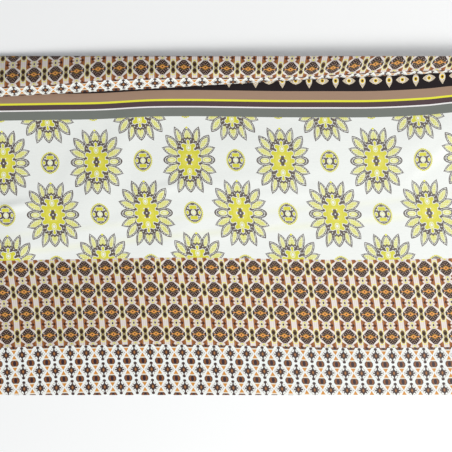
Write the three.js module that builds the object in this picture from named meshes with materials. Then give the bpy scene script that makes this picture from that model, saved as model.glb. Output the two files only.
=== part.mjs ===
// A cut of printed viscose cloth, laid flat on a table with one soft fold across it near the back.
// Millimetres. +Z is up, the origin is on the table under the middle of the cloth's outline,
// +X runs along the bands of the print and -Y is the side towards the viewer.
// The cloth is one sheet, modelled as three walls that follow each other through the fold:
// the main stretch that lies on the table, the tucked layer hidden in the fold, and the upper
// stretch that comes out over it.

import * as THREE from "three";
import { mergeVertices } from "three/addons/utils/BufferGeometryUtils.js";

// Driving sizes of the sheet
const CLOTH_WIDTH = 560; // cut size along the bands of the print
const LAID_DEPTH = 339; // from the front cut edge to the back cut edge, as laid
const WALL = 1.2; // thickness of each wall
const SEAM_GAP = 0.3; // left between two walls that follow each other

const FRONT_EDGE = -LAID_DEPTH / 2;
const BACK_EDGE = LAID_DEPTH / 2;
const LYING = WALL / 2; // height of the wall's middle where it lies on the table

// The grain doesn't run square to the front edge: how far to the right it has moved at a depth.
const GRAIN_DRIFT = [
  { depth: -169.5, drift: 15.0 },
  { depth: -119.5, drift: 10.6 },
  { depth: -52.0, drift: 2.6 },
  { depth: -24.5, drift: -1.4 },
  { depth: 42.0, drift: -7.3 },
  { depth: 108.5, drift: -13.0 },
  { depth: 135.0, drift: -15.0 },
  { depth: 169.5, drift: -15.0 },
];

// The fold at stations across the cloth. nose is the depth of its front edge, the knee and the
// crest are given by how far they lie behind the nose and how high, and back is the height of
// the back cut edge.
const FOLD_STATIONS = [
  { across: -295, nose: 125.3, kneeRun: 5.2, kneeHigh: 11.2, crestRun: 11.5, crestHigh: 14.8, back: 3.0 },
  { across: -226, nose: 128.6, kneeRun: 5.2, kneeHigh: 11.2, crestRun: 11.5, crestHigh: 15.0, back: 5.0 },
  { across: -146, nose: 132.9, kneeRun: 5.4, kneeHigh: 11.4, crestRun: 11.5, crestHigh: 15.2, back: 8.5 },
  { across: -66, nose: 137.2, kneeRun: 5.0, kneeHigh: 11.6, crestRun: 11.5, crestHigh: 15.4, back: 11.5 },
  { across: 14, nose: 141.9, kneeRun: 4.2, kneeHigh: 11.6, crestRun: 11.5, crestHigh: 15.6, back: 13.5 },
  { across: 94, nose: 146.4, kneeRun: 3.2, kneeHigh: 11.2, crestRun: 11.5, crestHigh: 16.2, back: 15.5 },
  { across: 174, nose: 150.0, kneeRun: 2.8, kneeHigh: 10.8, crestRun: 11.0, crestHigh: 16.6, back: 17.0 },
  { across: 226, nose: 153.1, kneeRun: 2.6, kneeHigh: 10.5, crestRun: 10.5, crestHigh: 16.8, back: 17.6 },
  { across: 295, nose: 156.2, kneeRun: 2.6, kneeHigh: 10.5, crestRun: 9.5, crestHigh: 16.8, back: 17.8 },
];

// The hidden layer, as points behind the nose: the turn at the back of the tuck, then forward
// and down to the underside of the nose.
const TUCK_POINTS = [
  { behind: 7.6, high: 0.6 },
  { behind: 10.6, high: 1.7 },
  { behind: 11.9, high: 4.5 },
  { behind: 10.5, high: 7.2 },
  { behind: 8.0, high: 7.6 },
  { behind: 5.8, high: 5.4 },
  { behind: 4.2, high: 3.1 },
  { behind: 2.2, high: 2.3 },
  { behind: 0.5, high: 3.1 },
];
const NOSE_HIGH = 5.0; // height of the foremost line of the fold
const BACK_FALL = 0.35; // share of the fall from the crest to the back edge in its first half

// Low soft ridges in the main stretch: where the middle is, its size, and how far it is turned.
const RIDGES = [
  { x: -112, y: 74, length: 230, width: 58, high: 1.6, turn: 62 },
  { x: 214, y: 92, length: 190, width: 64, high: 2.0, turn: 28 },
  { x: -214, y: -40, length: 240, width: 70, high: 1.4, turn: 84 },
  { x: 36, y: -96, length: 260, width: 62, high: 1.2, turn: 12 },
  { x: 150, y: -28, length: 210, width: 56, high: 1.3, turn: -34 },
  { x: -60, y: -18, length: 180, width: 52, high: 1.0, turn: 40 },
  { x: 246, y: -110, length: 170, width: 60, high: 1.6, turn: 74 },
  { x: -190, y: -128, length: 160, width: 50, high: 1.2, turn: -20 },
];
const RIDGE_FADE = 22; // the ridges die away over this distance before the nose

// How finely the walls are divided
const STEPS_ACROSS = 40;
const STEPS_LYING = 24;
const STEPS_TUCK = 18;
const STEPS_UPPER = 16;
const SAME_POINT = 1e-4; // corners closer than this are one

// A column of a table at a place between its rows, eased so that no kink shows at a row.
function readTable(table, placeKey, valueKey, place) {
  const last = table.length - 1;
  const at = THREE.MathUtils.clamp(place, table[0][placeKey], table[last][placeKey]);
  let row = 0;
  while (row < last - 1 && at > table[row + 1][placeKey]) row += 1;
  const slopeAt = (index) => {
    const before = table[Math.max(index - 1, 0)];
    const after = table[Math.min(index + 1, last)];
    return (after[valueKey] - before[valueKey]) / (after[placeKey] - before[placeKey]);
  };
  const low = table[row];
  const high = table[row + 1];
  const span = high[placeKey] - low[placeKey];
  const t = (at - low[placeKey]) / span;
  const rise = t * t * (3 - 2 * t);
  const leave = t * (1 - t) * (1 - t) * span * slopeAt(row);
  const arrive = t * t * (t - 1) * span * slopeAt(row + 1);
  return low[valueKey] * (1 - rise) + high[valueKey] * rise + leave + arrive;
}

// Height of the low ridges over the table at a place, nothing between them.
function ridgeHeight(x, y) {
  let height = 0;
  for (const ridge of RIDGES) {
    const turn = THREE.MathUtils.degToRad(ridge.turn);
    const along = (x - ridge.x) * Math.cos(turn) + (y - ridge.y) * Math.sin(turn);
    const across = (y - ridge.y) * Math.cos(turn) - (x - ridge.x) * Math.sin(turn);
    const reach = Math.min(Math.abs(along) / (ridge.length / 2), 1);
    const side = Math.min(Math.abs(across) / (ridge.width / 2), 1);
    const fade = Math.cos((reach * Math.PI) / 2) ** 2 * Math.cos((side * Math.PI) / 2) ** 2;
    height += ridge.high * fade;
  }
  return height;
}

// The line through the middle of the sheet at one station across, front to back, as points with
// their normals on the print side.
function sheetLine(across) {
  const backX = across + readTable(GRAIN_DRIFT, "depth", "drift", BACK_EDGE);
  const station = {};
  for (const key of ["nose", "kneeRun", "kneeHigh", "crestRun", "crestHigh", "back"]) {
    station[key] = readTable(FOLD_STATIONS, "across", key, backX);
  }
  const point = (depth, height) => {
    const x = across + readTable(GRAIN_DRIFT, "depth", "drift", depth);
    return new THREE.Vector3(x, depth, height);
  };

  const lyingEnd = station.nose + TUCK_POINTS[0].behind;
  const line = [];
  for (let step = 0; step < STEPS_LYING; step += 1) {
    const depth = THREE.MathUtils.lerp(FRONT_EDGE, lyingEnd, step / STEPS_LYING);
    const towardsNose = THREE.MathUtils.smoothstep(depth, station.nose - RIDGE_FADE, station.nose);
    const p = point(depth, LYING);
    p.z += ridgeHeight(p.x, depth) * (1 - towardsNose);
    line.push(p);
  }

  const crest = station.nose + station.crestRun;
  const tuck = TUCK_POINTS.map((row) => point(station.nose + row.behind, row.high));
  const upper = [
    point(station.nose, NOSE_HIGH),
    point(station.nose + station.kneeRun, station.kneeHigh),
    point(crest, station.crestHigh),
    point((crest + BACK_EDGE) / 2, THREE.MathUtils.lerp(station.crestHigh, station.back, BACK_FALL)),
    point(BACK_EDGE, station.back),
  ];
  const guide = new THREE.CatmullRomCurve3([line[STEPS_LYING - 1], ...tuck, ...upper]);
  const knots = guide.points.length - 1;
  const follow = (from, to, steps) => {
    for (let step = 0; step < steps; step += 1) {
      line.push(guide.getPoint(THREE.MathUtils.lerp(from, to, step / steps) / knots));
    }
  };
  follow(1, tuck.length, STEPS_TUCK);
  follow(tuck.length, knots, STEPS_UPPER);
  line.push(guide.getPoint(1));

  const last = line.length - 1;
  return line.map((p, index) => {
    const before = line[Math.max(index - 1, 0)];
    const after = line[Math.min(index + 1, last)];
    const normal = new THREE.Vector3(0, before.z - after.z, after.y - before.y).normalize();
    return { p, normal };
  });
}

// The print side and the reverse side of the wall between two places on a sheet line. An end that
// meets the next wall is drawn back by half of the seam gap.
function wallSides(line, from, to) {
  const sides = { print: [], reverse: [] };
  for (let index = from; index <= to; index += 1) {
    const { p, normal } = line[index];
    const middle = p.clone();
    const inward = index === from ? 1 : index === to ? -1 : 0;
    const meets = inward !== 0 && index > 0 && index < line.length - 1;
    if (meets) {
      const direction = line[index + inward].p.clone().sub(p).normalize();
      middle.addScaledVector(direction, SEAM_GAP / 2);
    }
    sides.print.push(middle.clone().addScaledVector(normal, WALL / 2));
    sides.reverse.push(middle.clone().addScaledVector(normal, -WALL / 2));
  }
  return sides;
}

// A closed wall through its sides at all the stations across.
function wallGeometry(columns) {
  const positions = [];
  const quad = (a, b, c, d) => {
    for (const corner of [a, b, c, a, c, d]) positions.push(corner.x, corner.y, corner.z);
  };
  const lastRow = columns[0].print.length - 1;
  const lastColumn = columns.length - 1;
  for (let i = 0; i < lastColumn; i += 1) {
    const left = columns[i];
    const right = columns[i + 1];
    for (let j = 0; j < lastRow; j += 1) {
      quad(left.print[j], right.print[j], right.print[j + 1], left.print[j + 1]);
      quad(left.reverse[j], left.reverse[j + 1], right.reverse[j + 1], right.reverse[j]);
    }
    quad(left.reverse[0], right.reverse[0], right.print[0], left.print[0]);
    quad(left.print[lastRow], right.print[lastRow], right.reverse[lastRow], left.reverse[lastRow]);
  }
  const first = columns[0];
  const end = columns[lastColumn];
  for (let j = 0; j < lastRow; j += 1) {
    quad(first.reverse[j], first.print[j], first.print[j + 1], first.reverse[j + 1]);
    quad(end.print[j], end.reverse[j], end.reverse[j + 1], end.print[j + 1]);
  }
  const geometry = new THREE.BufferGeometry();
  geometry.setAttribute("position", new THREE.Float32BufferAttribute(positions, 3));
  const merged = mergeVertices(geometry, SAME_POINT);
  merged.computeVertexNormals();
  return merged;
}

const lines = [];
for (let step = 0; step <= STEPS_ACROSS; step += 1) {
  lines.push(sheetLine(THREE.MathUtils.lerp(-CLOTH_WIDTH / 2, CLOTH_WIDTH / 2, step / STEPS_ACROSS)));
}

// Each wall: its first and last place along the sheet, and the overall colour of its print.
const TUCK_START = STEPS_LYING;
const UPPER_START = TUCK_START + STEPS_TUCK;
const WALLS = [
  { name: "main_stretch", from: 0, to: TUCK_START, colour: 0xc9c2b2 },
  { name: "tucked_layer", from: TUCK_START, to: UPPER_START, colour: 0x8f8378 },
  { name: "upper_stretch", from: UPPER_START, to: lines[0].length - 1, colour: 0xb79f88 },
];

const cloth = new THREE.Group();
for (const wall of WALLS) {
  const columns = lines.map((line) => wallSides(line, wall.from, wall.to));
  const material = new THREE.MeshStandardMaterial({ color: wall.colour, roughness: 0.72, metalness: 0 });
  const mesh = new THREE.Mesh(wallGeometry(columns), material);
  mesh.name = wall.name;
  cloth.add(mesh);
}

export default cloth;
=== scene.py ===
import math
import bpy
import numpy as np
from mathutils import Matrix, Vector


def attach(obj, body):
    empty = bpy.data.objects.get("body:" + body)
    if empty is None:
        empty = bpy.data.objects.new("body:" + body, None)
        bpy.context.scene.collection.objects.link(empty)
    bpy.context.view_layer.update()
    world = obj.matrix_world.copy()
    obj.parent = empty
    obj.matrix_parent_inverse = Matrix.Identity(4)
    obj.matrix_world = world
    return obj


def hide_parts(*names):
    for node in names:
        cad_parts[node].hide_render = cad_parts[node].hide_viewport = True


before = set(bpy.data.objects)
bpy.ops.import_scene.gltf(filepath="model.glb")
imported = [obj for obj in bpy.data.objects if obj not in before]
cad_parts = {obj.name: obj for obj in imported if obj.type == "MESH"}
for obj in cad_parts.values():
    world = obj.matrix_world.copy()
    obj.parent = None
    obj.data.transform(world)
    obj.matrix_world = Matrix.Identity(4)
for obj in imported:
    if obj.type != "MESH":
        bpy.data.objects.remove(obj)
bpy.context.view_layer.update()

# A cut of printed viscose cloth, laid flat with one soft fold across it near the back.
# Sizes are in millimetres until a mesh is made. +X runs along the bands of the print, -Y is the
# viewer's side, +Z is up. The print is drawn in the cloth's own flat sizes: u along the bands and
# v up from the front cut edge, stored on the mesh for the material to read.

MM = 0.001

# Driving sizes of the sheet
CLOTH_WIDTH = 560.0
LAID_DEPTH = 339.0
FRONT_EDGE = -LAID_DEPTH / 2
BACK_EDGE = LAID_DEPTH / 2
SHEET = 0.34  # thickness of the cloth itself
WALL = 1.2  # thickness of the solid walls that it replaces
LYING = SHEET / 2  # height of the sheet's middle where it lies on the table
SUNK = (WALL - SHEET) / 2  # how much lower the thin sheet's middle lies than a wall's

# How finely the sheet is divided
COLUMNS = 216
ROWS_LYING = 118
ROWS_TUCK = 34
ROWS_UPPER = 32

# The grain doesn't run square to the front edge: how far to the right it has moved at a depth.
GRAIN_DRIFT = [
    dict(depth=-169.5, drift=15.0),
    dict(depth=-119.5, drift=10.6),
    dict(depth=-52.0, drift=2.6),
    dict(depth=-24.5, drift=-1.4),
    dict(depth=42.0, drift=-7.3),
    dict(depth=108.5, drift=-13.0),
    dict(depth=135.0, drift=-15.0),
    dict(depth=169.5, drift=-15.0),
]

# The fold at stations across the cloth. nose is the depth of its front edge, the knee and the
# crest are given by how far they lie behind the nose and how high, and back is the height of
# the back cut edge.
FOLD_STATIONS = [
    dict(across=-295, nose=125.3, knee_run=5.2, knee_high=11.2, crest_run=11.5, crest_high=14.8, back=3.0),
    dict(across=-226, nose=128.6, knee_run=5.2, knee_high=11.2, crest_run=11.5, crest_high=15.0, back=5.0),
    dict(across=-146, nose=132.9, knee_run=5.4, knee_high=11.4, crest_run=11.5, crest_high=15.2, back=8.5),
    dict(across=-66, nose=137.2, knee_run=5.0, knee_high=11.6, crest_run=11.5, crest_high=15.4, back=11.5),
    dict(across=14, nose=141.9, knee_run=4.2, knee_high=11.6, crest_run=11.5, crest_high=15.6, back=13.5),
    dict(across=94, nose=146.4, knee_run=3.2, knee_high=11.2, crest_run=11.5, crest_high=16.2, back=15.5),
    dict(across=174, nose=150.0, knee_run=2.8, knee_high=10.8, crest_run=11.0, crest_high=16.6, back=17.0),
    dict(across=226, nose=153.1, knee_run=2.6, knee_high=10.5, crest_run=10.5, crest_high=16.8, back=17.6),
    dict(across=295, nose=156.2, knee_run=2.6, knee_high=10.5, crest_run=9.5, crest_high=16.8, back=17.8),
]

# The hidden layer, as points behind the nose: the turn at the back of the tuck, then forward
# and down to the underside of the nose.
TUCK_POINTS = [
    dict(behind=7.6, high=0.6),
    dict(behind=10.6, high=1.7),
    dict(behind=11.9, high=4.5),
    dict(behind=10.5, high=7.2),
    dict(behind=8.0, high=7.6),
    dict(behind=5.8, high=5.4),
    dict(behind=4.2, high=3.1),
    dict(behind=2.2, high=2.3),
    dict(behind=0.5, high=3.1),
]
NOSE_HIGH = 5.0  # height of the foremost line of the fold
BACK_FALL = 0.35  # share of the fall from the crest to the back edge in its first half
BACK_PULL = 0.115  # how far the back edge is drawn in for each millimetre that it is lifted
LAST_LYING_STEP = 13.0  # the depth of cloth before the tuck that guides its first turn

# Low soft ridges in the main stretch: where the middle is, its size, and how far it is turned.
RIDGES = [
    dict(x=-112, y=74, length=230, width=58, high=1.6, turn=62),
    dict(x=214, y=92, length=190, width=64, high=2.0, turn=28),
    dict(x=-214, y=-40, length=240, width=70, high=1.4, turn=84),
    dict(x=36, y=-96, length=260, width=62, high=1.2, turn=12),
    dict(x=150, y=-28, length=210, width=56, high=1.3, turn=-34),
    dict(x=-60, y=-18, length=180, width=52, high=1.0, turn=40),
    dict(x=246, y=-110, length=170, width=60, high=1.6, turn=74),
    dict(x=-190, y=-128, length=160, width=50, high=1.2, turn=-20),
]
RIDGE_FADE = 22.0  # depth in front of the fold over which ridges and creases end

# Finer soft creases of the sheet itself and one broad swell. They are uneven in length and height, and most
# of them rise gently to the right.
CREASES = [
    dict(x=-218, y=18.0, length=110, width=15, high=2.2, turn=10),
    dict(x=-62, y=37.5, length=62, width=14, high=1.1, turn=14),
    dict(x=-10, y=42, length=300, width=26, high=0.5, turn=8),
    dict(x=207, y=70, length=130, width=20, high=0.6, turn=42),
    dict(x=0, y=46, length=760, width=150, high=3.2, turn=9),
    dict(x=-110, y=3, length=220, width=20, high=0.6, turn=13),
    dict(x=-185, y=-20, length=150, width=24, high=0.7, turn=10),
    dict(x=17, y=-3, length=180, width=18, high=0.6, turn=14),
    dict(x=150, y=12, length=230, width=22, high=0.7, turn=8),
    dict(x=74, y=34, length=200, width=20, high=0.6, turn=7),
    dict(x=-150, y=62, length=150, width=30, high=0.6, turn=64),
    dict(x=60, y=84, length=260, width=34, high=0.5, turn=6),
    dict(x=-236, y=-62, length=150, width=60, high=1.3, turn=70),
    dict(x=120, y=-134, length=190, width=36, high=0.5, turn=-8),
    dict(x=-80, y=-112, length=160, width=30, high=0.4, turn=16),
    dict(x=262, y=-30, length=120, width=26, high=1.0, turn=58),
    dict(x=-262, y=96, length=120, width=30, high=1.1, turn=-35),
]

# How the printed columns run over the laid main stretch: where the column u = 0 lies at a depth,
# and how much the cloth is spread there.
PRINT_COLUMNS = [
    dict(depth=-169.5, middle=10.8, spread=1.0140),
    dict(depth=-119.5, middle=6.4, spread=1.0075),
    dict(depth=-86.0, middle=2.9, spread=1.0030),
    dict(depth=-63.5, middle=-0.1, spread=1.0005),
    dict(depth=-41.5, middle=-3.5, spread=0.9995),
    dict(depth=-24.5, middle=-5.6, spread=0.9970),
    dict(depth=-4.0, middle=-7.3, spread=0.9935),
    dict(depth=36.0, middle=-12.6, spread=0.9835),
    dict(depth=74.0, middle=-14.6, spread=0.9790),
    dict(depth=108.5, middle=-18.2, spread=0.9755),
    dict(depth=135.5, middle=-19.7, spread=0.9790),
    dict(depth=169.5, middle=-20.5, spread=0.9780),
]

# How far the printed columns stray to the right between the sides
PRINT_SWAY = [
    dict(across=-206, sway=0.1),
    dict(across=-134, sway=0.1),
    dict(across=-62, sway=-0.2),
    dict(across=-26, sway=-0.3),
    dict(across=10, sway=-0.5),
    dict(across=46, sway=-0.35),
    dict(across=82, sway=-0.1),
    dict(across=118, sway=0.0),
    dict(across=154, sway=0.2),
    dict(across=190, sway=0.4),
]

# How far the printed rows sag towards the viewer, at four depths of the main stretch.
PRINT_SAG_DEPTHS = dict(stripes=124.0, flowers=40.0, browns=-75.0, smalls=-150.0)
PRINT_SAG = [
    dict(across=-290, stripes=4.9, flowers=4.0, browns=4.6, smalls=3.6),
    dict(across=-226, stripes=4.3, flowers=3.3, browns=3.2, smalls=2.8),
    dict(across=-176, stripes=3.5, flowers=3.0, browns=1.5, smalls=1.0),
    dict(across=-126, stripes=2.6, flowers=2.2, browns=0.8, smalls=0.0),
    dict(across=-76, stripes=-0.1, flowers=0.9, browns=-0.3, smalls=-0.6),
    dict(across=-36, stripes=-0.5, flowers=0.2, browns=0.0, smalls=0.0),
    dict(across=0, stripes=-0.1, flowers=0.6, browns=0.5, smalls=0.8),
    dict(across=50, stripes=0.6, flowers=1.3, browns=1.4, smalls=1.8),
    dict(across=100, stripes=0.7, flowers=1.8, browns=2.3, smalls=3.1),
    dict(across=150, stripes=0.5, flowers=1.6, browns=2.6, smalls=3.6),
    dict(across=200, stripes=-1.9, flowers=0.5, browns=2.0, smalls=3.3),
    dict(across=226, stripes=-4.5, flowers=-0.6, browns=1.4, smalls=2.8),
    dict(across=290, stripes=-8.5, flowers=-2.8, browns=0.0, smalls=1.5),
]

# Where two lines of the print lie on the upper stretch: the edge of its brown band and the first
# row of brown diamonds above it, how the columns lean there and how far they stray to the right.
UPPER_LINES = [
    dict(across=-290, edge=135.0, row=145.5, lean=0.0, sway=-0.3),
    dict(across=-213, edge=137.6, row=148.8, lean=0.0, sway=-0.3),
    dict(across=-171, edge=139.6, row=150.7, lean=0.0, sway=-0.2),
    dict(across=-128, edge=143.4, row=155.0, lean=0.0, sway=-0.1),
    dict(across=-86, edge=145.4, row=156.9, lean=0.0, sway=0.0),
    dict(across=-64, edge=146.1, row=157.5, lean=0.0, sway=0.2),
    dict(across=-21, edge=146.5, row=156.2, lean=0.0, sway=0.4),
    dict(across=22, edge=146.7, row=154.8, lean=-0.05, sway=0.4),
    dict(across=64, edge=147.3, row=154.3, lean=-0.14, sway=0.1),
    dict(across=107, edge=149.6, row=156.0, lean=-0.25, sway=-0.2),
    dict(across=149, edge=152.0, row=159.7, lean=-0.35, sway=-0.5),
    dict(across=193, edge=153.6, row=161.7, lean=-0.37, sway=0.0),
    dict(across=226, edge=154.6, row=161.6, lean=-0.37, sway=0.0),
    dict(across=290, edge=157.2, row=164.0, lean=-0.37, sway=0.0),
]
UPPER_SPREAD = 0.996  # how much the printed columns are spread on the upper stretch
NOSE_PACE = 1.35  # how much faster the rows follow each other round the front of the fold

PRINT_START = -169.0  # depth at which v is 0, where the print doesn't sag
# Bands of the print, by how far up the flat cloth each one starts
SMALL_TO_BROWN = 49.8
BROWN_TO_FLOWERS = 137.0
FLOWERS_TO_GREY = 277.9
GREY_TO_WHITE = 286.65
WHITE_TO_PLUM = 288.0
PLUM_TO_YELLOW = 293.05
YELLOW_TO_TAN = 295.05
TAN_TO_BLACK = 303.95
BLACK_TO_SMALL = 323.3
UPPER_SMALL_TO_BROWN = 355.0
UPPER_SHIFT = UPPER_SMALL_TO_BROWN - SMALL_TO_BROWN  # the bands past the fold repeat the first ones


def read_table(table, place_key, value_key, place):
    """A column of a table at places between its rows, eased so that no kink shows at a row."""
    rows_at = np.array([row[place_key] for row in table], float)
    values = np.array([row[value_key] for row in table], float)
    if rows_at[0] > rows_at[-1]:
        rows_at, values = rows_at[::-1], values[::-1]
    at = np.clip(place, rows_at[0], rows_at[-1])
    row = np.clip(np.searchsorted(rows_at, at, side="right") - 1, 0, len(table) - 2)
    before = np.maximum(np.arange(len(table)) - 1, 0)
    after = np.minimum(np.arange(len(table)) + 1, len(table) - 1)
    slopes = (values[after] - values[before]) / (rows_at[after] - rows_at[before])
    span = rows_at[row + 1] - rows_at[row]
    t = (at - rows_at[row]) / span
    rise = t * t * (3 - 2 * t)
    leave = t * (1 - t) * (1 - t) * span * slopes[row]
    arrive = t * t * (t - 1) * span * slopes[row + 1]
    return values[row] * (1 - rise) + values[row + 1] * rise + leave + arrive


def smooth_step(value, low, high):
    t = np.clip((value - low) / (high - low), 0, 1)
    return t * t * (3 - 2 * t)


def ridge_height(x, y):
    """Height of the low ridges and creases over the table, nothing between them."""
    height = np.zeros_like(x)
    for ridge in RIDGES + CREASES:
        turn = math.radians(ridge["turn"])
        along = (x - ridge["x"]) * math.cos(turn) + (y - ridge["y"]) * math.sin(turn)
        across = (y - ridge["y"]) * math.cos(turn) - (x - ridge["x"]) * math.sin(turn)
        reach = np.minimum(np.abs(along) / (ridge["length"] / 2), 1)
        side = np.minimum(np.abs(across) / (ridge["width"] / 2), 1)
        height += ridge["high"] * np.cos(reach * math.pi / 2) ** 2 * np.cos(side * math.pi / 2) ** 2
    return height


SHORTEST_STEP = 1e-4  # keeps two guide points at one place from dividing by nothing


def guide_line(points, samples):
    """Points on a smooth line through the given points, at places counted in points."""
    first = 2 * points[0] - points[1]
    last = 2 * points[-1] - points[-2]
    padded = np.vstack([first, points, last])
    result = []
    for place in samples:
        index = min(int(place), len(points) - 2)
        t = place - index
        p0, p1, p2, p3 = padded[index:index + 4]
        pairs = ((p0, p1), (p1, p2), (p2, p3))
        step0, step1, step2 = (max(np.linalg.norm(b - a) ** 0.5, SHORTEST_STEP) for a, b in pairs)
        leave = (p1 - p0) / step0 - (p2 - p0) / (step0 + step1) + (p2 - p1) / step1
        arrive = (p2 - p1) / step1 - (p3 - p1) / (step1 + step2) + (p3 - p2) / step2
        leave, arrive = leave * step1, arrive * step1
        cube = 2 * p1 - 2 * p2 + leave + arrive
        square = -3 * p1 + 3 * p2 - 2 * leave - arrive
        result.append(((cube * t + square) * t + leave) * t + p1)
    return np.array(result)


def flat_place_lying(x, y):
    """u and v of a place on the main stretch."""
    middle = read_table(PRINT_COLUMNS, "depth", "middle", y)
    spread = read_table(PRINT_COLUMNS, "depth", "spread", y)
    sway = read_table(PRINT_SWAY, "across", "sway", x)
    depths = sorted(PRINT_SAG_DEPTHS.items(), key=lambda item: item[1])
    sags = np.array([read_table(PRINT_SAG, "across", name, x) for name, depth in depths])
    levels = np.array([depth for name, depth in depths])
    at = np.clip(y, levels[0], levels[-1])
    row = np.clip(np.searchsorted(levels, at, side="right") - 1, 0, len(levels) - 2)
    t = (at - levels[row]) / (levels[row + 1] - levels[row])
    place = np.arange(len(x))
    sag = sags[row, place] * (1 - t) + sags[row + 1, place] * t
    return (x - middle - sway) / spread, y + sag - PRINT_START


def sheet_column(across):
    """The middle of the sheet at one station across, front to back, with its u and v."""
    back_x = across + read_table(GRAIN_DRIFT, "depth", "drift", BACK_EDGE)
    sizes = [key for key in FOLD_STATIONS[0] if key != "across"]
    at = {key: float(read_table(FOLD_STATIONS, "across", key, back_x)) for key in sizes}
    lying_end = at["nose"] + TUCK_POINTS[0]["behind"]
    y = np.linspace(FRONT_EDGE, lying_end, ROWS_LYING + 1)
    x = across + read_table(GRAIN_DRIFT, "depth", "drift", y)
    z = LYING + ridge_height(x, y) * (1 - smooth_step(y, at["nose"] - RIDGE_FADE, at["nose"]))
    u, v = flat_place_lying(x, y)
    lying = np.column_stack([x, y, z])

    crest = at["nose"] + at["crest_run"]
    back_edge = BACK_EDGE - BACK_PULL * at["back"]
    tuck = [(at["nose"] + row["behind"], row["high"]) for row in TUCK_POINTS]
    upper = [
        (at["nose"], NOSE_HIGH),
        (at["nose"] + at["knee_run"], at["knee_high"]),
        (crest, at["crest_high"]),
        ((crest + back_edge) / 2, at["crest_high"] + (at["back"] - at["crest_high"]) * BACK_FALL),
        (back_edge, at["back"]),
    ]
    knots = np.array([(lying_end - LAST_LYING_STEP, WALL / 2)] + tuck + upper)
    nose_knot = len(tuck) + 1
    samples = np.concatenate([
        np.linspace(1, nose_knot, ROWS_TUCK + 1)[1:],
        np.linspace(nose_knot, len(knots) - 1, ROWS_UPPER + 1)[1:],
    ])
    line = guide_line(knots, samples)
    x_fold = across + read_table(GRAIN_DRIFT, "depth", "drift", line[:, 0])
    fold = np.column_stack([x_fold, line[:, 0], line[:, 1] - SUNK])
    points = np.vstack([lying, fold])

    # The rows of the print on the upper stretch, held to its two known lines
    length = np.concatenate([[0], np.cumsum(np.linalg.norm(np.diff(points, axis=0), axis=1))])
    nose_row = ROWS_LYING + ROWS_TUCK
    on_top = np.arange(nose_row, len(points))
    top_x = points[on_top, 0]
    edge = float(read_table(UPPER_LINES, "across", "edge", back_x))
    first_row = float(read_table(UPPER_LINES, "across", "row", back_x))
    lean = float(read_table(UPPER_LINES, "across", "lean", back_x))
    sway = float(read_table(UPPER_LINES, "across", "sway", back_x))
    edge_at = float(np.interp(edge, points[on_top, 1], length[on_top]))
    row_at = float(np.interp(first_row, points[on_top, 1], length[on_top]))
    pace = (BROWN_ROW - SMALL_TO_BROWN) / (row_at - edge_at)
    beyond = length[on_top] - edge_at
    v_top = UPPER_SMALL_TO_BROWN + np.where(beyond > 0, beyond * pace, beyond * NOSE_PACE)
    past_row = length[on_top] > row_at
    v_top = np.where(past_row, UPPER_SHIFT + BROWN_ROW + length[on_top] - row_at, v_top)
    u_top = (top_x - sway + lean * (points[on_top, 1] - first_row)) / UPPER_SPREAD

    # Between the two stretches, inside the tuck, u and v run on evenly
    share = (length[ROWS_LYING:nose_row] - length[ROWS_LYING]) / (length[nose_row] - length[ROWS_LYING])
    u_tuck = u[-1] + (u_top[0] - u[-1]) * share
    v_tuck = v[-1] + (v_top[0] - v[-1]) * share
    flat = np.column_stack([
        np.concatenate([u, u_tuck[1:], u_top]),
        np.concatenate([v, v_tuck[1:], v_top]),
    ])
    return points, flat, length[-1]


# Repeats of the print, in flat millimetres. Inside a motif, the numbers in its formulas are places
# and sizes in the same millimetres, counted from the motif's own middle.
BROWN_PITCH = 21.25
BROWN_RISE = 22.3
BROWN_ROW = 60.5  # v of a row of brown diamonds
BROWN_COLUMN = 10.45  # u of a column of them in the main stretch
UPPER_BROWN_COLUMN = 0.3
SMALL_PITCH = 15.93
UPPER_SMALL_PITCH = 15.58
SMALL_RISE = 17.2
SMALL_ROW = 41.95
SMALL_COLUMN = -2.25
UPPER_SMALL_COLUMN = 6.96
FLOWER_PITCH = 95.0
FLOWER_RISE = 105.0
FLOWER_COLUMN = 24.8
FLOWER_ROW = 182.2
EYE_PITCH = 27.15
EYE_COLUMN = 23.8
EYE_ROW = TAN_TO_BLACK + 10.4


def ink(red, green, blue):
    """A colour given as it shows, from 0 to 255, in the linear values that a shader takes."""
    def linear(value):
        share = value / 255
        return share / 12.92 if share <= 0.04045 else ((share + 0.055) / 1.055) ** 2.4
    return (linear(red), linear(green), linear(blue), 1.0)


INK = dict(
    white=ink(243, 245, 241),
    outline=ink(91, 79, 74),
    leaf=ink(225, 222, 114),
    leaf_pale=ink(243, 244, 204),
    medallion=ink(220, 215, 64),
    medallion_light=ink(229, 221, 88),
    bead=ink(100, 88, 80),
    grey=ink(120, 124, 118),
    line_white=ink(246, 243, 242),
    plum=ink(84, 66, 70),
    yellow=ink(238, 235, 66),
    tan=ink(165, 136, 115),
    black=ink(26, 16, 20),
    eye=ink(236, 220, 190),
    iris=ink(242, 206, 58),
    ground=ink(224, 211, 205),
    lattice=ink(237, 227, 220),
    edging=ink(240, 231, 124),
    rust=ink(146, 86, 42),
    rust_light=ink(178, 112, 60),
    star=ink(62, 30, 28),
    diamond=ink(40, 18, 17),
    speck=ink(175, 147, 130),
    orange=ink(234, 162, 84),
    yellow_dull=ink(222, 216, 76),
    pupil=ink(70, 36, 28),
    olive=ink(120, 92, 34),
    olive_dark=ink(50, 31, 22),
    olive_pale=ink(172, 160, 106),
    small_ground=ink(240, 243, 240),
    small_dark=ink(70, 48, 43),
    core=ink(166, 110, 60),
    hexagon=ink(166, 102, 50),
    hexagon_deep=ink(104, 62, 38),
    hexagon_dark=ink(52, 34, 42),
    triangle=ink(212, 144, 58),
    cream=ink(238, 222, 200),
    fleck=ink(184, 170, 158),
)


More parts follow.
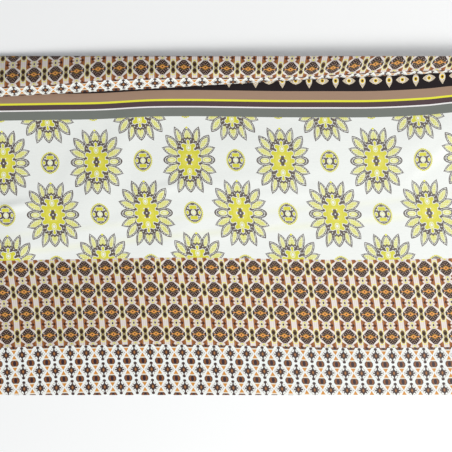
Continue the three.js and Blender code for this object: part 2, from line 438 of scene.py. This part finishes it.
class Num:
    """A number that varies over the cloth, as an output of a node. Sums and tests on it add nodes,
    and a test gives a mask of 1 or 0. & joins masks and | takes either."""

    tree = None

    def __init__(self, socket):
        self.socket = socket

    def __add__(self, other):
        return sum_node("ADD", self, other)

    def __sub__(self, other):
        return sum_node("SUBTRACT", self, other)

    def __rsub__(self, other):
        return sum_node("SUBTRACT", other, self)

    def __mul__(self, other):
        return sum_node("MULTIPLY", self, other)

    def __truediv__(self, other):
        return sum_node("DIVIDE", self, other)

    def __abs__(self):
        return sum_node("ABSOLUTE", self)

    def __lt__(self, other):
        return sum_node("LESS_THAN", self, other)

    def __gt__(self, other):
        return sum_node("GREATER_THAN", self, other)

    def __and__(self, other):
        return sum_node("MULTIPLY", self, other)

    def __or__(self, other):
        return sum_node("MAXIMUM", self, other)

    __radd__ = __add__
    __rmul__ = __mul__


def sum_node(operation, *values):
    node = Num.tree.nodes.new("ShaderNodeMath")
    node.operation = operation
    for index, value in enumerate(values):
        if isinstance(value, Num):
            Num.tree.links.new(value.socket, node.inputs[index])
        else:
            node.inputs[index].default_value = value
    return Num(node.outputs[0])


def nearest(place, pitch, start=0.0):
    """Distance to the nearest of the lines that repeat with the pitch, one of them at start."""
    return sum_node("PINGPONG", place - start, pitch / 2)


def lowest(*values):
    result = values[0]
    for value in values[1:]:
        result = sum_node("MINIMUM", result, value)
    return result


def highest(*values):
    result = values[0]
    for value in values[1:]:
        result = sum_node("MAXIMUM", result, value)
    return result


def hypot(x, y):
    return sum_node("SQRT", sum_node("MULTIPLY_ADD", x, x, y * y))


def disc(x, y, radius):
    """Distance outside a round spot's rim, under 0 inside it."""
    return hypot(x, y) - radius


def oval(x, y, half_wide, half_high):
    """Under 1 inside an oval."""
    return hypot(x / half_wide, y / half_high)


def rhombus(x, y, half_wide, half_high):
    """Under 1 inside a rhombus. x and y are distances from its middle."""
    return sum_node("MULTIPLY_ADD", x, 1 / half_wide, y / half_high)


def choose(mask, where_one, where_zero):
    """One number where the mask is 1 and another where it is 0."""
    return sum_node("MULTIPLY_ADD", mask, where_one - where_zero, where_zero)


def paint(colour, new, mask):
    """Lays a new colour over a colour: all of it where the mask is 1 and none of it where it is 0."""
    node = Num.tree.nodes.new("ShaderNodeMix")
    node.data_type = "RGBA"
    node.clamp_factor = True
    Num.tree.links.new(mask.socket, node.inputs["Factor"])
    for name, value in (("A", colour), ("B", new)):
        socket = next(s for s in node.inputs if s.name == name and s.type == "RGBA")
        if isinstance(value, str):
            socket.default_value = INK[value]
        else:
            Num.tree.links.new(value, socket)
    return next(s for s in node.outputs if s.type == "RGBA")


# Petals of a quarter of the flower, from back to front: root and tip, the greatest half width,
# how far the middle line bows outwards from the straight line, the scale of the rings, and how
# far a thin point runs out past the tip.
PETALS = [
    dict(root=(9.3, 2.9), tip=(27.0, 12.3), half=4.5, bow=1.2, rings=0.72, point=0.7),
    dict(root=(9.8, 8.6), tip=(22.3, 24.8), half=4.8, bow=0.0, rings=0.95, point=0.0),
    dict(root=(8.0, 13.0), tip=(12.5, 32.8), half=4.0, bow=1.4, rings=0.85, point=0.6),
    dict(root=(0.0, 12.0), tip=(0.0, 32.8), half=5.8, bow=0.0, rings=1.0, point=0.0),
]
# Rings of the pointed petals and of the round side petal from the rim inwards, by how far inside
# the rim each one starts
PETAL_RINGS = [
    dict(depth=0.0, ink="outline"),
    dict(depth=0.7, ink="dotted"),
    dict(depth=1.8, ink="outline"),
    dict(depth=2.25, ink="leaf_pale"),
    dict(depth=2.9, ink="hatched"),
    dict(depth=3.9, ink="crossed"),
]
SIDE_RINGS = [
    dict(depth=0.0, ink="outline"),
    dict(depth=0.7, ink="dotted"),
    dict(depth=1.7, ink="outline"),
    dict(depth=2.3, ink="leaf_pale"),
]
SIDE_PETAL = dict(middle=17.6, half_long=8.9, half=5.0)
# Round lobes of a quarter of the medallion
LOBES = [
    dict(x=10.1, y=0.0, radius=2.3),
    dict(x=9.1, y=7.5, radius=2.2),
    dict(x=5.2, y=14.0, radius=2.0),
    dict(x=0.0, y=18.1, radius=1.5),
]
# Blocks of a quarter of the medallion's body, by how far each one reaches
BODY_BLOCKS = [
    dict(x=9.0, y=8.9),
    dict(x=5.1, y=15.2),
    dict(x=0.9, y=18.0),
]
MEDALLION_RIM = dict(dark=1.1, white=0.6)  # how far out its two lines reach
CRESCENT = dict(middle=10.5, radius=11.6, low=-1.0, teeth=22, tooth=0.6, beads=20, bead_ring=9.8, bead=0.55)
OVAL = dict(half_high=11.3, half_wide=9.7)
POINT_SLOPE = 0.35  # how fast the thin point of a petal widens inwards


def lens(along, aside, half_long, half_wide):
    """How far inside the rim of a pointed oval. along is measured from its middle."""
    radius = (half_long ** 2 + half_wide ** 2) / (2 * half_wide)
    return radius - hypot(along, aside + (radius - half_wide))


def petal_depth(x, y, petal):
    """How far inside the rim of a petal."""
    (root_x, root_y), (tip_x, tip_y) = petal["root"], petal["tip"]
    length = math.hypot(tip_x - root_x, tip_y - root_y)
    run, rise = (tip_x - root_x) / length, (tip_y - root_y) / length
    middle = (root_x + tip_x) / 2 * run + (root_y + tip_y) / 2 * rise
    along = sum_node("MULTIPLY_ADD", x, run, y * rise) - middle
    aside = sum_node("MULTIPLY_ADD", x, rise, y * -run) - (root_x * rise - root_y * run)
    half = length / 2
    if petal["bow"]:
        aside = aside + (along * along * (-petal["bow"] / half ** 2) + petal["bow"])
    aside = abs(aside)
    depth = lens(along, aside, half, petal["half"])
    if petal["point"]:
        point = lowest((half + petal["point"] - along) * POINT_SLOPE - aside, along)
        depth = highest(depth, point)
    return depth


def paint_petal(colour, depth, rings, dots, checks, scale=1.0):
    """Paints the rings of a petal, from its rim to its middle."""
    for ring in rings:
        inside = depth > ring["depth"] * scale
        if ring["ink"] == "dotted":
            colour = paint(colour, "white", inside)
            colour = paint(colour, "outline", inside & checks)
        elif ring["ink"] == "hatched":
            colour = paint(colour, "leaf", inside & dots)
        elif ring["ink"] == "crossed":
            colour = paint(colour, "leaf", inside & checks)
        else:
            colour = paint(colour, ring["ink"], inside)
    return colour


def flower_motif(colour, x, y, above, dots, checks):
    """A flower of pointed leaves round a scalloped medallion, from one quarter of it. above is 1
    past its middle, where a yellow dot tips the longest leaf."""
    for petal in PETALS:
        colour = paint_petal(colour, petal_depth(x, y, petal), PETAL_RINGS, dots, checks, petal["rings"])
    side = 1 - oval(x - SIDE_PETAL["middle"], y, SIDE_PETAL["half_long"], SIDE_PETAL["half"])
    colour = paint_petal(colour, side * SIDE_PETAL["half"], SIDE_RINGS, dots, checks)
    colour = paint(colour, "leaf", abs(oval(x - 18.1, y, 3.6, 1.7) - 0.85) < 0.2)

    # Dark crescents with small teeth and white beads, over and under the medallion
    crescent_y = y - CRESCENT["middle"]
    out = hypot(x, crescent_y)
    turn = sum_node("ARCTAN2", crescent_y, x)
    teeth = sum_node("COSINE", turn * CRESCENT["teeth"])
    crescent = (out + teeth * CRESCENT["tooth"]) < CRESCENT["radius"]
    crescent = crescent & (crescent_y > CRESCENT["low"])
    colour = paint(colour, "bead", crescent)
    beads = sum_node("COSINE", turn * CRESCENT["beads"]) > 0.65
    on_ring = abs(out - CRESCENT["bead_ring"]) < CRESCENT["bead"]
    colour = paint(colour, "white", crescent & beads & on_ring)
    colour = paint(colour, "bead", oval(x - 10.4, y - 4.1, 1.9, 0.9) < 1)

    # The medallion: a body with round lobes, in a white line and a dark one
    blocks = [highest(x - block["x"], y - block["y"]) for block in BODY_BLOCKS]
    lobes = [disc(x - lobe["x"], y - lobe["y"], lobe["radius"]) for lobe in LOBES]
    rim = lowest(*blocks, *lobes)
    colour = paint(colour, "bead", rim < MEDALLION_RIM["dark"])
    colour = paint(colour, "white", rim < MEDALLION_RIM["white"])
    colour = paint(colour, "medallion", rim < 0)
    out = hypot(x, y)
    glow = ((out < 7.6) & (out > 4.0)) | (abs(out - 8.9) < 0.25)
    colour = paint(colour, "medallion_light", glow & (rim < 0))

    # Pale ovals in the medallion and the dark mark at its middle
    spot = oval(x, y - 11.8, 2.5, 3.3)
    colour = paint(colour, "leaf_pale", (spot < 1) & (spot > 0.72))
    colour = paint(colour, "white", spot < 0.5)
    colour = paint(colour, "white", rhombus(abs(x - 3.4), y, 1.4, 2.0) < 1)
    colour = paint(colour, "white", rhombus(abs(x - 2.1), abs(y - 4.5), 0.9, 0.9) < 1)
    colour = paint(colour, "bead", (x < 1.75) & (y < 4.9) & ((x + y * 0.5) < 3.6))
    colour = paint(colour, "bead", rhombus(x, y, 3.6, 4.2) < 1)
    colour = paint(colour, "white", out < 0.7)
    return paint(colour, "yellow", (disc(x, y - 31.9, 1.0) < 0) & above)


def oval_motif(colour, x, y, checks):
    """A small pointed oval between the flowers: a dashed rim, a dark ring and yellow blocks."""
    depth = lens(y, x, OVAL["half_high"], OVAL["half_wide"])
    dashes = sum_node("COSINE", sum_node("ARCTAN2", y, x) * 30) > -0.45
    colour = paint(colour, "yellow_dull", (depth > 0) & (depth < 1.35) & (dashes | (depth > 0.55)))
    colour = paint(colour, "outline", depth > 1.55)
    colour = paint(colour, "white", disc(x - 5.0, y - 4.2, 0.7) < 0)
    colour = paint(colour, "white", (depth > 2.4) & (depth < 2.9) & checks)
    block = highest(abs(y - 5.2) - 1.75, x - 3.6)
    hub = hypot(x, y)
    side = disc(x - 6.1, y * 0.7, 1.25)
    near = lowest(block, side, hub - 2.3)
    colour = paint(colour, "white", near < 0.4)
    colour = paint(colour, "medallion", lowest(block, side) < 0)
    colour = paint(colour, "outline", (abs(y - 3.1) < 0.5) & (abs(x - 2.0) < 0.5))
    colour = paint(colour, "leaf_pale", hub < 2.2)
    colour = paint(colour, "leaf", (abs(hub - 1.8) < 0.3) & checks)
    colour = paint(colour, "white", hub < 1.1)
    return paint(colour, "outline", oval(x - 3.8, y, 0.8, 1.2) < 1)


# Faint cream streaks across the white ground, rising to the right: v where u is 0, how fast they
# rise, half their width and how strong they are.
CREAM_STREAKS = [
    dict(v=162.5, rise=0.087, half=5.2, strength=0.36),
    dict(v=179.8, rise=0.086, half=4.4, strength=0.20),
]


def cream_streaks(u, v):
    """How much cream shows in the white ground."""
    shares = []
    for streak in CREAM_STREAKS:
        off = abs(v - streak["v"] - u * streak["rise"])
        shares.append((1 - off / streak["half"]) * streak["strength"])
    return highest(*shares, 0.0)


def flower_band(u, v, dots, checks):
    """Flowers in staggered rows with ovals between them, on white."""
    half_pitch, half_rise = FLOWER_PITCH / 2, FLOWER_RISE / 2
    x = nearest(u, FLOWER_PITCH, FLOWER_COLUMN)
    y = nearest(v, FLOWER_RISE, FLOWER_ROW)
    share_x = x / half_pitch
    share_y = y / half_rise
    far = (share_x + share_y) > 1
    flower_x = choose(far, half_pitch - x, x)
    flower_y = choose(far, half_rise - y, y)
    above = sum_node("WRAP", v - FLOWER_ROW, FLOWER_RISE, 0.0) < half_rise
    above = choose(far, 1 - above, above)
    beside = share_x > share_y
    oval_x = choose(beside, half_pitch - x, x)
    oval_y = choose(beside, y, half_rise - y)
    white = paint("white", "leaf_pale", cream_streaks(u, v))
    colour = flower_motif(white, flower_x, flower_y, above, dots, checks)
    inside = lens(oval_y, oval_x, OVAL["half_high"], OVAL["half_wide"]) > 0
    return paint(colour, oval_motif("white", oval_x, oval_y, checks), inside)


# Share of their full brightness that the brown bands have: at the left, where u is 0, and how fast
# it grows to the right
DEEPEST = 0.84
DEEP_MIDDLE = 0.985
DEEPENING = 0.0008
UPPER_PAINTED_SHADE = 0.09  # painted shade: how much deeper the bands of the upper stretch are drawn where u is 0, in place of shading over the fold
UPPER_PAINTED_SHADE_GROWTH = 0.0003  # how fast that painted shade grows to the right


def deepened_with_painted_shade(colour, u, upper):
    """The brown bands' colours, a little deeper towards the left of the cloth, and darker on the upper
    stretch as painted shade over the fold.
    """
    node = Num.tree.nodes.new("ShaderNodeVectorMath")
    node.operation = "SCALE"
    depth = highest(lowest(u * DEEPENING + DEEP_MIDDLE, 1.0), DEEPEST)
    # painted shade on the upper stretch, in place of shading over the fold
    more = highest(u * UPPER_PAINTED_SHADE_GROWTH, 0.0) + UPPER_PAINTED_SHADE
    depth = depth * (1 - upper * more)
    Num.tree.links.new(colour, node.inputs[0])
    Num.tree.links.new(depth.socket, node.inputs["Scale"])
    return node.outputs["Vector"]


WHITENED_MIDDLE = 0.012  # how much white is mixed into the inks where u is 0
WHITENING = 0.00018  # how fast that grows to the right
WHITENED_MOST = 0.045
BROWN_WHITENED = 0.35  # share of that whitening in the brown bands


def paled_to_right(colour, u, share=1.0):
    """Inks drawn a little paler towards the right of the cloth, with white mixed in."""
    white_share = highest(lowest(u * WHITENING + WHITENED_MIDDLE, WHITENED_MOST), 0.0)
    return paint(colour, "white", white_share * share)


def brown_band(u, v, upper):
    """Dark diamonds in a pale lattice, with pairs of olive ovals and serrated rust wings."""
    column = choose(upper, UPPER_BROWN_COLUMN, BROWN_COLUMN)
    x = sum_node("PINGPONG", u - column, BROWN_PITCH / 2)
    y = nearest(v, BROWN_RISE, BROWN_ROW)
    from_column = BROWN_PITCH / 2 - x  # distance from the column of olive ovals
    from_half = BROWN_RISE / 2 - y  # distance from the line half way between two rows
    colour = paint("lattice", "ground", (abs(from_column - 0.9) < 0.3) | (from_column > 7.9))

    # Rust wings beside the pale bars, with serrated points and a dark star
    reach = highest(8.1 - from_half * 1.4, from_half * 0.75 + 4.9)
    wing = (from_column > 2.7) & (from_column < reach)
    wing = wing & ((from_column * 0.63 + from_half) < 8.1)
    colour = paint(colour, "rust", wing)
    colour = paint(colour, "rust_light", wing & (abs(from_column - 3.7) < 0.4))
    colour = paint(colour, "star", rhombus(abs(from_column - 4.9), from_half, 1.5, 1.7) < 1)

    # Yellow edging beside the ovals and at the ends of the bars
    colour = paint(colour, "edging", (abs(from_column - 2.65) < 0.34) & (abs(y - 4.0) < 2.8))
    colour = paint(colour, "edging", (abs(y - 7.3) < 0.55) & (from_column < 1.7))

    # The olive ovals, each with a dark core
    colour = paint(colour, "olive_pale", (from_column < 1.9) & (y < 1.0))
    pair = oval(from_column, y - 3.5, 2.1, 2.9)
    colour = paint(colour, "olive", pair < 1)
    colour = paint(colour, "olive_dark", oval(from_column, y - 3.0, 1.5, 1.8) < 1)

    # The dark diamond, flecked, with an orange eye
    body = highest(rhombus(x, y, 8.9, 9.2), x / 7.6, y / 7.4)
    colour = paint(colour, "diamond", body < 1)
    waves = sum_node("COSINE", x * 2.7) * sum_node("COSINE", y * 2.3 + x)
    colour = paint(colour, "speck", (waves > 0.38) & (body < 0.9))
    colour = paint(colour, "ground", disc(x - 5.6, y - 1.9, 0.6) < 0)
    colour = paint(colour, "olive", oval(x, y, 3.3, 2.8) < 1)
    colour = paint(colour, "orange", rhombus(x, y, 3.3, 2.1) < 1)
    colour = paint(colour, "orange", (y < 0.3) & (x < 5.4))
    colour = paint(colour, "orange", oval(x - 5.0, y, 0.85, 0.6) < 1)
    colour = paint(colour, "diamond", oval(x, y, 0.75, 0.75) < 1)

    # A yellow ring with a dark dot half way between two diamonds
    ring = oval(x, from_half, 2.0, 2.8)
    colour = paint(colour, "edging", (ring < 1) & (ring > 0.74))
    colour = paint(colour, "yellow_dull", oval(x, from_half - 2.5, 1.0, 0.65) < 1)
    return paint(colour, "diamond", oval(x, from_half, 0.75, 1.15) < 1)


def small_band(u, v, upper, checks):
    """Small dark diamonds in white rhombuses, with hexagons and orange triangles between."""
    half = choose(upper, UPPER_SMALL_PITCH / 2, SMALL_PITCH / 2)
    column = choose(upper, UPPER_SMALL_COLUMN, SMALL_COLUMN)
    x = sum_node("PINGPONG", u - column, half)
    y = nearest(v, SMALL_RISE, SMALL_ROW)
    side_x = half - x
    side_y = SMALL_RISE / 2 - y
    share = rhombus(x, y, 8.0, 8.6)
    colour = paint("small_ground", "fleck", (abs(share - 0.78) < 0.085) & checks)

    # A dark diamond with a brown core and side flecks, and a dot on a thin neck at each end
    colour = paint(colour, "small_dark", (x < 0.62) & (y < 6.2))
    colour = paint(colour, "small_dark", oval(x, y - 6.4, 1.6, 1.3) < 1)
    colour = paint(colour, "small_dark", disc(x - 3.9, y, 0.8) < 0)
    colour = paint(colour, "small_dark", disc(x - 2.7, y - 1.9, 0.75) < 0)
    colour = paint(colour, "small_dark", rhombus(x, y, 3.7, 4.5) < 1)
    colour = paint(colour, "core", rhombus(x, y, 1.1, 2.0) < 1)

    # A hexagon at the corners of the rhombuses
    hexagon = highest(rhombus(side_x, side_y, 4.9, 6.6), side_y / 3.05, side_x / 4.0)
    colour = paint(colour, "small_dark", hexagon < 1)
    colour = paint(colour, "hexagon", hexagon < 0.78)
    colour = paint(colour, "hexagon_deep", (hexagon < 0.66) & (hexagon > 0.54))
    colour = paint(colour, "hexagon_dark", oval(side_x, side_y, 1.7, 2.4) < 1)

    # Orange triangles that point away from the hexagon, on a cream bow
    bow = side_y + side_x * side_x * 0.1
    colour = paint(colour, "cream", (abs(bow - 3.85) < 0.42) & (side_x < 2.6))
    triangle = (side_y > 4.25) & ((side_x * 1.7 + side_y) < 8.2)
    return paint(colour, "triangle", triangle)


def eye_motif(colour, shape, hub, checks):
    """A pale eye with a yellow iris. shape is under 1 inside it."""
    colour = paint(colour, "eye", shape < 1)
    colour = paint(colour, "fleck", (shape < 0.85) & checks)
    colour = paint(colour, "white", hub < 2.7)
    colour = paint(colour, "iris", hub < 2.0)
    return paint(colour, "pupil", hub < 1.05)


def eye_band(u, v, checks):
    """Upright and level eyes in turn, on black."""
    x = nearest(u, EYE_PITCH, EYE_COLUMN)
    y = v - EYE_ROW
    far_x = EYE_PITCH / 2 - x
    upright = lowest(oval(x, y, 3.2, 4.5), rhombus(x, abs(y + 2.8), 2.8, 4.7))
    colour = eye_motif("black", upright, hypot(x, y * 0.85), checks)
    level = lowest((far_x / 6.6) * (far_x / 6.6) + abs(y) / 3.5, oval(far_x, y, 1.3, 4.0))
    return eye_motif(colour, level, hypot(far_x, y), checks)


DOT_PITCH = 1.9
DOT_SPREAD = 0.6  # square of a dot's radius
CHECK_TURN = 2.1  # radians of the checks' waves in each millimetre


def dot_grid(u, v):
    """A fine even grid of dots, as the drawn hatching of the print."""
    x = nearest(u, DOT_PITCH)
    y = nearest(v, DOT_PITCH)
    return sum_node("MULTIPLY_ADD", x, x, y * y) < DOT_SPREAD


def check_grid(u, v):
    """Fine slanting checks, as the dotted lines of the print."""
    rising = sum_node("COSINE", (u + v) * CHECK_TURN)
    return rising * sum_node("COSINE", (u - v) * CHECK_TURN) > 0


def border_print():
    """The node group that draws the whole print from u and v in millimetres."""
    tree = bpy.data.node_groups.new("border_print", "ShaderNodeTree")
    tree.interface.new_socket("Place", in_out="INPUT", socket_type="NodeSocketVector")
    tree.interface.new_socket("Color", in_out="OUTPUT", socket_type="NodeSocketColor")
    Num.tree = tree
    entry = tree.nodes.new("NodeGroupInput")
    split = tree.nodes.new("ShaderNodeSeparateXYZ")
    tree.links.new(entry.outputs["Place"], split.inputs[0])
    u = Num(split.outputs["X"])
    v = Num(split.outputs["Y"])
    upper = v > BLACK_TO_SMALL
    band_v = v - upper * UPPER_SHIFT
    checks = check_grid(u, v)

    colour = paled_to_right(flower_band(u, v, dot_grid(u, v), checks), u)
    browns = paled_to_right(brown_band(u, band_v, upper), u, BROWN_WHITENED)
    # the brown bands of the upper stretch are darkened as painted shade over the fold
    browns = deepened_with_painted_shade(browns, u, upper)
    colour = paint(colour, browns, band_v < BROWN_TO_FLOWERS)
    smalls = paled_to_right(small_band(u, band_v, upper, checks), u)
    colour = paint(colour, smalls, band_v < SMALL_TO_BROWN)
    lower = 1 - upper
    for start, name in (
        (FLOWERS_TO_GREY, "grey"),
        (GREY_TO_WHITE, "line_white"),
        (WHITE_TO_PLUM, "plum"),
        (PLUM_TO_YELLOW, "yellow"),
        (YELLOW_TO_TAN, "tan"),
    ):
        colour = paint(colour, name, (v > start) & lower)
    colour = paint(colour, eye_band(u, v, checks), (v > TAN_TO_BLACK) & lower)
    leave = tree.nodes.new("NodeGroupOutput")
    tree.links.new(colour, leave.inputs["Color"])
    return tree


WEAVE_PITCH = 0.42  # distance between neighbouring threads
WEAVE_DEPTH = 0.00003  # in metres
WEAVE_STRENGTH = 0.5
SLUB_SCALE = (0.10, 1.6, 1.0)  # long along the bands and short across them
SLUB_DETAIL = 3.0
SLUB_SHARE = 0.10
GRAIN_SCALE = 1.1
GRAIN_DETAIL = 2.0
GRAIN_SHARE = 0.14
TONE_LOWEST = 0.88
REVERSE_WHITE = 0.55  # how much white lies over the print on the reverse
ROUGHNESS_LOWEST = 0.52
ROUGHNESS_SPREAD = 0.16
GLOSS = 0.25
SHEEN = 0.08
SHEEN_ROUGHNESS = 0.45


def viscose_material():
    """Printed plain-woven viscose: the print on one side, paler on the reverse, with a fine weave."""
    material = bpy.data.materials.new("printed_viscose")
    material.use_nodes = True
    tree = material.node_tree
    shader = tree.nodes["Principled BSDF"]
    place = tree.nodes.new("ShaderNodeAttribute")
    place.attribute_name = "print_mm"
    print_side = tree.nodes.new("ShaderNodeAttribute")
    print_side.attribute_name = "print_side"
    group = tree.nodes.new("ShaderNodeGroup")
    group.node_tree = border_print()
    tree.links.new(place.outputs["Vector"], group.inputs["Place"])
    Num.tree = tree

    # The cloth's slubs: long soft streaks along both sets of threads, and fine grain
    colour = group.outputs["Color"]
    streaks = tree.nodes.new("ShaderNodeMapping")
    streaks.inputs["Scale"].default_value = SLUB_SCALE
    tree.links.new(place.outputs["Vector"], streaks.inputs["Vector"])
    slub = tree.nodes.new("ShaderNodeTexNoise")
    slub.inputs["Scale"].default_value = 1.0
    slub.inputs["Detail"].default_value = SLUB_DETAIL
    tree.links.new(streaks.outputs["Vector"], slub.inputs["Vector"])
    grain = tree.nodes.new("ShaderNodeTexNoise")
    grain.inputs["Scale"].default_value = GRAIN_SCALE
    grain.inputs["Detail"].default_value = GRAIN_DETAIL
    tree.links.new(place.outputs["Vector"], grain.inputs["Vector"])
    grains = Num(grain.outputs["Fac"])
    tone = sum_node("MULTIPLY_ADD", Num(slub.outputs["Fac"]), SLUB_SHARE, grains * GRAIN_SHARE) + TONE_LOWEST
    shade = tree.nodes.new("ShaderNodeVectorMath")
    shade.operation = "SCALE"
    tree.links.new(colour, shade.inputs[0])
    tree.links.new(tone.socket, shade.inputs["Scale"])
    reverse = 1 - Num(print_side.outputs["Fac"])
    colour = paint(shade.outputs["Vector"], "line_white", reverse * REVERSE_WHITE)
    tree.links.new(colour, shader.inputs["Base Color"])

    # Threads over and under each other
    split = tree.nodes.new("ShaderNodeSeparateXYZ")
    tree.links.new(place.outputs["Vector"], split.inputs[0])
    u, v = Num(split.outputs["X"]), Num(split.outputs["Y"])
    warp = sum_node("SINE", u * (2 * math.pi / WEAVE_PITCH))
    weft = sum_node("SINE", v * (2 * math.pi / WEAVE_PITCH))
    bump = tree.nodes.new("ShaderNodeBump")
    bump.inputs["Strength"].default_value = WEAVE_STRENGTH
    bump.inputs["Distance"].default_value = WEAVE_DEPTH
    tree.links.new((warp * weft).socket, bump.inputs["Height"])
    tree.links.new(bump.outputs["Normal"], shader.inputs["Normal"])
    roughness = grains * ROUGHNESS_SPREAD + ROUGHNESS_LOWEST
    tree.links.new(roughness.socket, shader.inputs["Roughness"])
    shader.inputs["Specular IOR Level"].default_value = GLOSS
    shader.inputs["Sheen Weight"].default_value = SHEEN
    shader.inputs["Sheen Roughness"].default_value = SHEEN_ROUGHNESS
    return material


def cloth_piece():
    """The sheet as a thin closed shell, with its print places and which side is printed."""
    stations = np.linspace(-CLOTH_WIDTH / 2, CLOTH_WIDTH / 2, COLUMNS + 1)
    columns = [sheet_column(across) for across in stations]
    middle = np.array([points for points, flat, length in columns])
    flat = np.array([flat for points, flat, length in columns])
    along = np.gradient(middle, axis=1)
    aside = np.gradient(middle, axis=0)
    normal = np.cross(aside, along)
    normal /= np.linalg.norm(normal, axis=2, keepdims=True)
    wide, long = middle.shape[:2]
    count = wide * long
    vertices = np.concatenate([
        (middle + normal * (SHEET / 2)).reshape(-1, 3),
        (middle - normal * (SHEET / 2)).reshape(-1, 3),
    ]) * MM
    number = np.arange(count).reshape(wide, long)
    a, b = number[:-1, :-1].ravel(), number[1:, :-1].ravel()
    c, d = number[1:, 1:].ravel(), number[:-1, 1:].ravel()
    top = np.column_stack([a, b, c, d])
    under = np.column_stack([a, d, c, b]) + count
    ring = np.concatenate([number[:, 0], number[-1, 1:], number[-2::-1, -1], number[0, -2:0:-1]])
    following = np.roll(ring, -1)
    rim = np.column_stack([ring + count, following + count, following, ring])
    faces = np.vstack([top, under, rim])

    mesh = bpy.data.meshes.new("printed_sheet")
    mesh.from_pydata(vertices.tolist(), [], faces.tolist())
    places = np.zeros((2 * count, 3), np.float32)
    places[:count, :2] = flat.reshape(-1, 2)
    places[count:, :2] = flat.reshape(-1, 2)
    attribute = mesh.attributes.new("print_mm", "FLOAT_VECTOR", "POINT")
    attribute.data.foreach_set("vector", places.ravel())
    side = np.concatenate([np.ones(len(top)), np.zeros(len(under)), np.full(len(rim), 0.5)])
    attribute = mesh.attributes.new("print_side", "FLOAT", "FACE")
    attribute.data.foreach_set("value", side.astype(np.float32))
    lay_out(mesh, wide, long, len(top), len(under))
    mesh.polygons.foreach_set("use_smooth", np.ones(len(faces), bool))
    mesh.validate()
    mesh.update()
    piece = bpy.data.objects.new("printed_sheet", mesh)
    bpy.context.scene.collection.objects.link(piece)
    lengths = [length for points, flat, length in columns]
    return piece, float(np.mean(lengths))


PRINT_MAP = dict(left=0.005, low=0.005, wide=0.99, high=0.68)
REVERSE_MAP = dict(left=0.005, low=0.70, wide=0.42, high=0.29)
RIM_MAP = dict(left=0.45, low=0.75, wide=0.5, high=0.2)
CORNERS = 4  # of each face


def lay_out(mesh, wide, long, tops, unders):
    """A UV map named OFBake, in which the printed side takes most of the room."""
    layer = mesh.uv_layers.new(name="OFBake")
    corner_vertex = np.zeros(len(mesh.loops), int)
    mesh.loops.foreach_get("vertex_index", corner_vertex)
    count = wide * long
    place = corner_vertex % count
    share = np.column_stack([(place // long) / (wide - 1), (place % long) / (long - 1)])
    corners = np.zeros((len(mesh.loops), 2))
    ends = (0, tops * CORNERS, (tops + unders) * CORNERS, len(mesh.loops))
    for area, start, end in zip((PRINT_MAP, REVERSE_MAP), ends, ends[1:]):
        corners[start:end, 0] = area["left"] + share[start:end, 0] * area["wide"]
        corners[start:end, 1] = area["low"] + share[start:end, 1] * area["high"]
    rim = np.arange(ends[2], ends[3])
    step = (rim - ends[2]) // CORNERS
    corner = (rim - ends[2]) % CORNERS
    quads = max(int(step.max()) + 1, 1)
    across = np.array([0, 1, 1, 0])[corner]
    up = np.array([0, 0, 1, 1])[corner]
    corners[rim, 0] = RIM_MAP["left"] + RIM_MAP["wide"] * (step + across) / quads
    corners[rim, 1] = RIM_MAP["low"] + RIM_MAP["high"] * up
    layer.data.foreach_set("uv", corners.ravel())


VIEW_WIDTH = 0.452  # width of the table that the picture shows
VIEW_MIDDLE = (0.0, -0.0005)
CAMERA_HIGH = 1.5
SENSOR = 36.0


def add_camera():
    """A camera straight over the cloth, framed as in the photo."""
    data = bpy.data.cameras.new("camera")
    data.sensor_width = SENSOR
    data.lens = SENSOR * CAMERA_HIGH / VIEW_WIDTH
    camera = bpy.data.objects.new("camera", data)
    camera.location = (*VIEW_MIDDLE, CAMERA_HIGH)
    bpy.context.scene.collection.objects.link(camera)
    bpy.context.scene.camera = camera


FLOOR_HALF = 4.0
FLOOR_DROP = 0.0001  # keeps the floor just clear of the cloth's underside
FLOOR_COLOUR = (0.97, 0.97, 0.97, 1)
FLOOR_ROUGHNESS = 0.8


def add_floor():
    """A plain pale table top."""
    mesh = bpy.data.meshes.new("table_top")
    half = FLOOR_HALF
    corners = [(-half, -half, 0), (half, -half, 0), (half, half, 0), (-half, half, 0)]
    mesh.from_pydata(corners, [], [(0, 1, 2, 3)])
    floor = bpy.data.objects.new("table_top", mesh)
    floor.location.z = -FLOOR_DROP
    bpy.context.scene.collection.objects.link(floor)
    material = bpy.data.materials.new("pale_table")
    material.use_nodes = True
    shader = material.node_tree.nodes["Principled BSDF"]
    shader.inputs["Base Color"].default_value = FLOOR_COLOUR
    shader.inputs["Roughness"].default_value = FLOOR_ROUGHNESS
    mesh.materials.append(material)


STUDIO_COLOUR = (0.94, 0.97, 1.0, 1)
STUDIO_STRENGTH = 0.50
LAMP_SIZE = 1.3
LAMP_POWER = 57.0
LAMP_COLOUR = (1.0, 0.99, 0.96)
LAMP_PLACE = (1.6, -1.2, 1.7)


def add_lights():
    """Soft light all round, and a large soft lamp on the viewer's right."""
    world = bpy.data.worlds.new("studio")
    world.use_nodes = True
    background = world.node_tree.nodes["Background"]
    background.inputs["Color"].default_value = STUDIO_COLOUR
    background.inputs["Strength"].default_value = STUDIO_STRENGTH
    bpy.context.scene.world = world
    data = bpy.data.lights.new("window", "AREA")
    data.shape = "RECTANGLE"
    data.size = LAMP_SIZE
    data.size_y = LAMP_SIZE
    data.energy = LAMP_POWER
    data.color = LAMP_COLOUR
    lamp = bpy.data.objects.new("window", data)
    lamp.location = LAMP_PLACE
    aim = -Vector(lamp.location)
    lamp.rotation_euler = aim.to_track_quat("-Z", "Y").to_euler()
    bpy.context.scene.collection.objects.link(lamp)


add_camera()
add_floor()
add_lights()
sheet, cut_length = cloth_piece()
sheet.data.materials.append(viscose_material())
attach(sheet, "root")
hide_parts("main_stretch", "tucked_layer", "upper_stretch")
bpy.context.scene.view_settings.view_transform = "Standard"
